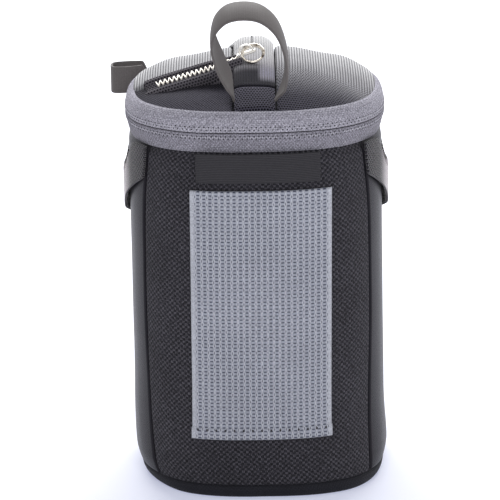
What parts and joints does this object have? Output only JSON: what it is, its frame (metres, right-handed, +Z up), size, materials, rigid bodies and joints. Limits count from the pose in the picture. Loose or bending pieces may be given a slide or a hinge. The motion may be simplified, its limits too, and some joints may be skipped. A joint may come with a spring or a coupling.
{
  "type": "lens pouch",
  "caption": "Padded upright lens pouch with a zipped domed lid, a small lid pocket, a grab loop and side loops.",
  "frame": {"origin": "middle of the base panel's underside, on the surface that the pouch stands on", "axes": "+Z up through the lid, -Y towards the front panel with the webbing patch, +X to the right seen from the front"},
  "size_m": [0.1174, 0.1291, 0.2116],
  "materials": {
    "ballistic_weave": "matt",
    "side_fabric": "matt",
    "foam": "matt",
    "lining_fabric": "brushed",
    "zip_tape": "matt",
    "zip_coil": "satin",
    "patch_webbing": "matt",
    "label_fabric": "satin",
    "spacer_mesh": "matt",
    "pocket_tape": "matt",
    "zip_metal": "polished",
    "slider_metal": "satin",
    "ribbon": "satin"
  },
  "bodies": {
    "case": {"front_panel": "ballistic_weave", "right_side_panel": "side_fabric", "back_panel": "ballistic_weave", "left_side_panel": "side_fabric", "base_panel": "ballistic_weave", "wall_padding": "foam", "base_padding": "foam", "lining": "lining_fabric", "lower_zip_tape": "zip_tape", "lower_zip_coil": "zip_coil", "webbing_patch": "patch_webbing", "label_tab": "label_fabric", "left_side_loop": "side_fabric", "right_side_loop": "side_fabric", "belt_loop": "ballistic_weave", "lid_hinge_tape": "zip_tape"},
    "lid": {"upper_zip_tape": "zip_tape", "upper_zip_coil": "zip_coil", "left_rear_cover": "spacer_mesh", "left_front_cover": "spacer_mesh", "right_cover": "spacer_mesh", "rear_strip": "spacer_mesh", "front_strip": "spacer_mesh", "lid_padding": "foam", "lid_lining": "lining_fabric", "pocket_bag": "lining_fabric", "pocket_zip_tape": "pocket_tape", "pocket_zip_chain": "zip_metal"},
    "pocket_slider": {"pocket_slider": "zip_metal"},
    "slider_ring": {"slider_ring": "zip_metal"},
    "grab_loop": {"grab_loop": "ribbon"},
    "rim_slider": {"rim_slider": "slider_metal"},
    "rim_pull": {"rim_pull": "ribbon"}
  },
  "joints": [
    {"name": "lid_hinge", "type": "hinge", "parent": "case", "child": "lid", "pos_m": [0, 0.05545, 0.1565], "axis": [-1, 0, 0], "range_deg": [0, 110], "deforming": ["lid_hinge_tape"]},
    {"name": "pocket_slide", "type": "slide", "parent": "lid", "child": "pocket_slider", "axis": [-0.9613, 0, -0.2756], "range_m": [0, 0.033]},
    {"name": "ring_swing", "type": "hinge", "parent": "pocket_slider", "child": "slider_ring", "pos_m": [-0.00361, -0.012, 0.18252], "axis": [-0.6678, -0.7193, -0.1915], "range_deg": [0, 160]},
    {"name": "grab_loop_fold", "type": "hinge", "parent": "lid", "child": "grab_loop", "pos_m": [0, -0.044, 0.16786], "axis": [1, 0, 0], "range_deg": [-38, 34]},
    {"name": "rim_slider_travel", "type": "hinge", "parent": "case", "child": "rim_slider", "pos_m": [0, 0, 0.1565], "axis": [0, 0, 1], "range_deg": [0, 250]},
    {"name": "rim_pull_swing", "type": "hinge", "parent": "rim_slider", "child": "rim_pull", "pos_m": [-0.04535, 0.04863, 0.1565], "axis": [0, 0, 1], "range_deg": [-100, 8]}
  ]
}
